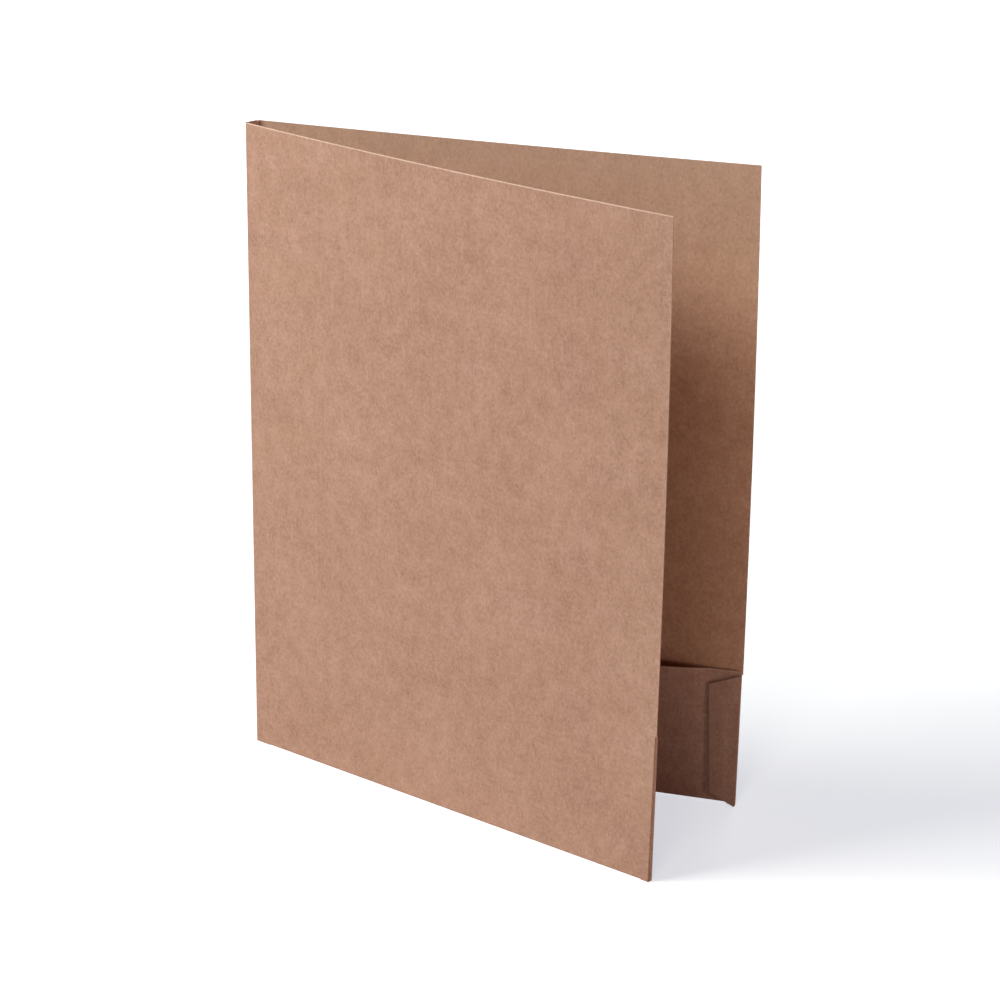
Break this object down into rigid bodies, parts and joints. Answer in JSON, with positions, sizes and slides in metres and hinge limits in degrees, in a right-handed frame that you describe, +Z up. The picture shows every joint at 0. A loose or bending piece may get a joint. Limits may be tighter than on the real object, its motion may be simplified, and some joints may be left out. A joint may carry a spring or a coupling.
{
  "type": "two pocket folder",
  "caption": "Creased kraft board folder with a narrow spine and a glued pocket along the foot of each cover, standing part open.",
  "frame": {"origin": "middle of the footprint, on the floor", "axes": "+Z up, +X along the foot of the back cover away from the spine, +Y out of that cover's outer face"},
  "size_m": [0.2384, 0.0948, 0.31],
  "materials": {
    "kraft_board": "matte",
    "glue": "matte"
  },
  "bodies": {
    "back_cover": {"back_cover": "kraft_board", "back_base_crease": "kraft_board", "back_pocket_base": "kraft_board", "back_pocket_crease": "kraft_board", "back_pocket_panel": "kraft_board", "back_side_crease": "kraft_board", "back_pocket_side": "kraft_board", "back_tab_crease": "kraft_board", "back_glue_tab": "kraft_board", "back_glue_line": "glue"},
    "spine": {"spine": "kraft_board", "back_spine_crease": "kraft_board", "front_spine_crease": "kraft_board"},
    "front_cover": {"front_cover": "kraft_board", "front_base_crease": "kraft_board", "front_pocket_base": "kraft_board", "front_pocket_crease": "kraft_board", "front_pocket_panel": "kraft_board", "front_side_crease": "kraft_board", "front_pocket_side": "kraft_board", "front_tab_crease": "kraft_board", "front_glue_tab": "kraft_board", "front_glue_line": "glue"}
  },
  "joints": [
    {"name": "back_spine_fold", "type": "hinge", "parent": "back_cover", "child": "spine", "pos_m": [-0.11498, 0.03994, 0], "axis": [0, 0, 1], "range_deg": [-55, 18.5], "deforming": ["back_spine_crease"]},
    {"name": "front_spine_fold", "type": "hinge", "parent": "spine", "child": "front_cover", "pos_m": [-0.11842, 0.03502, 0], "axis": [0, 0, 1], "range_deg": [-104.5, 0], "deforming": ["front_spine_crease"]}
  ]
}
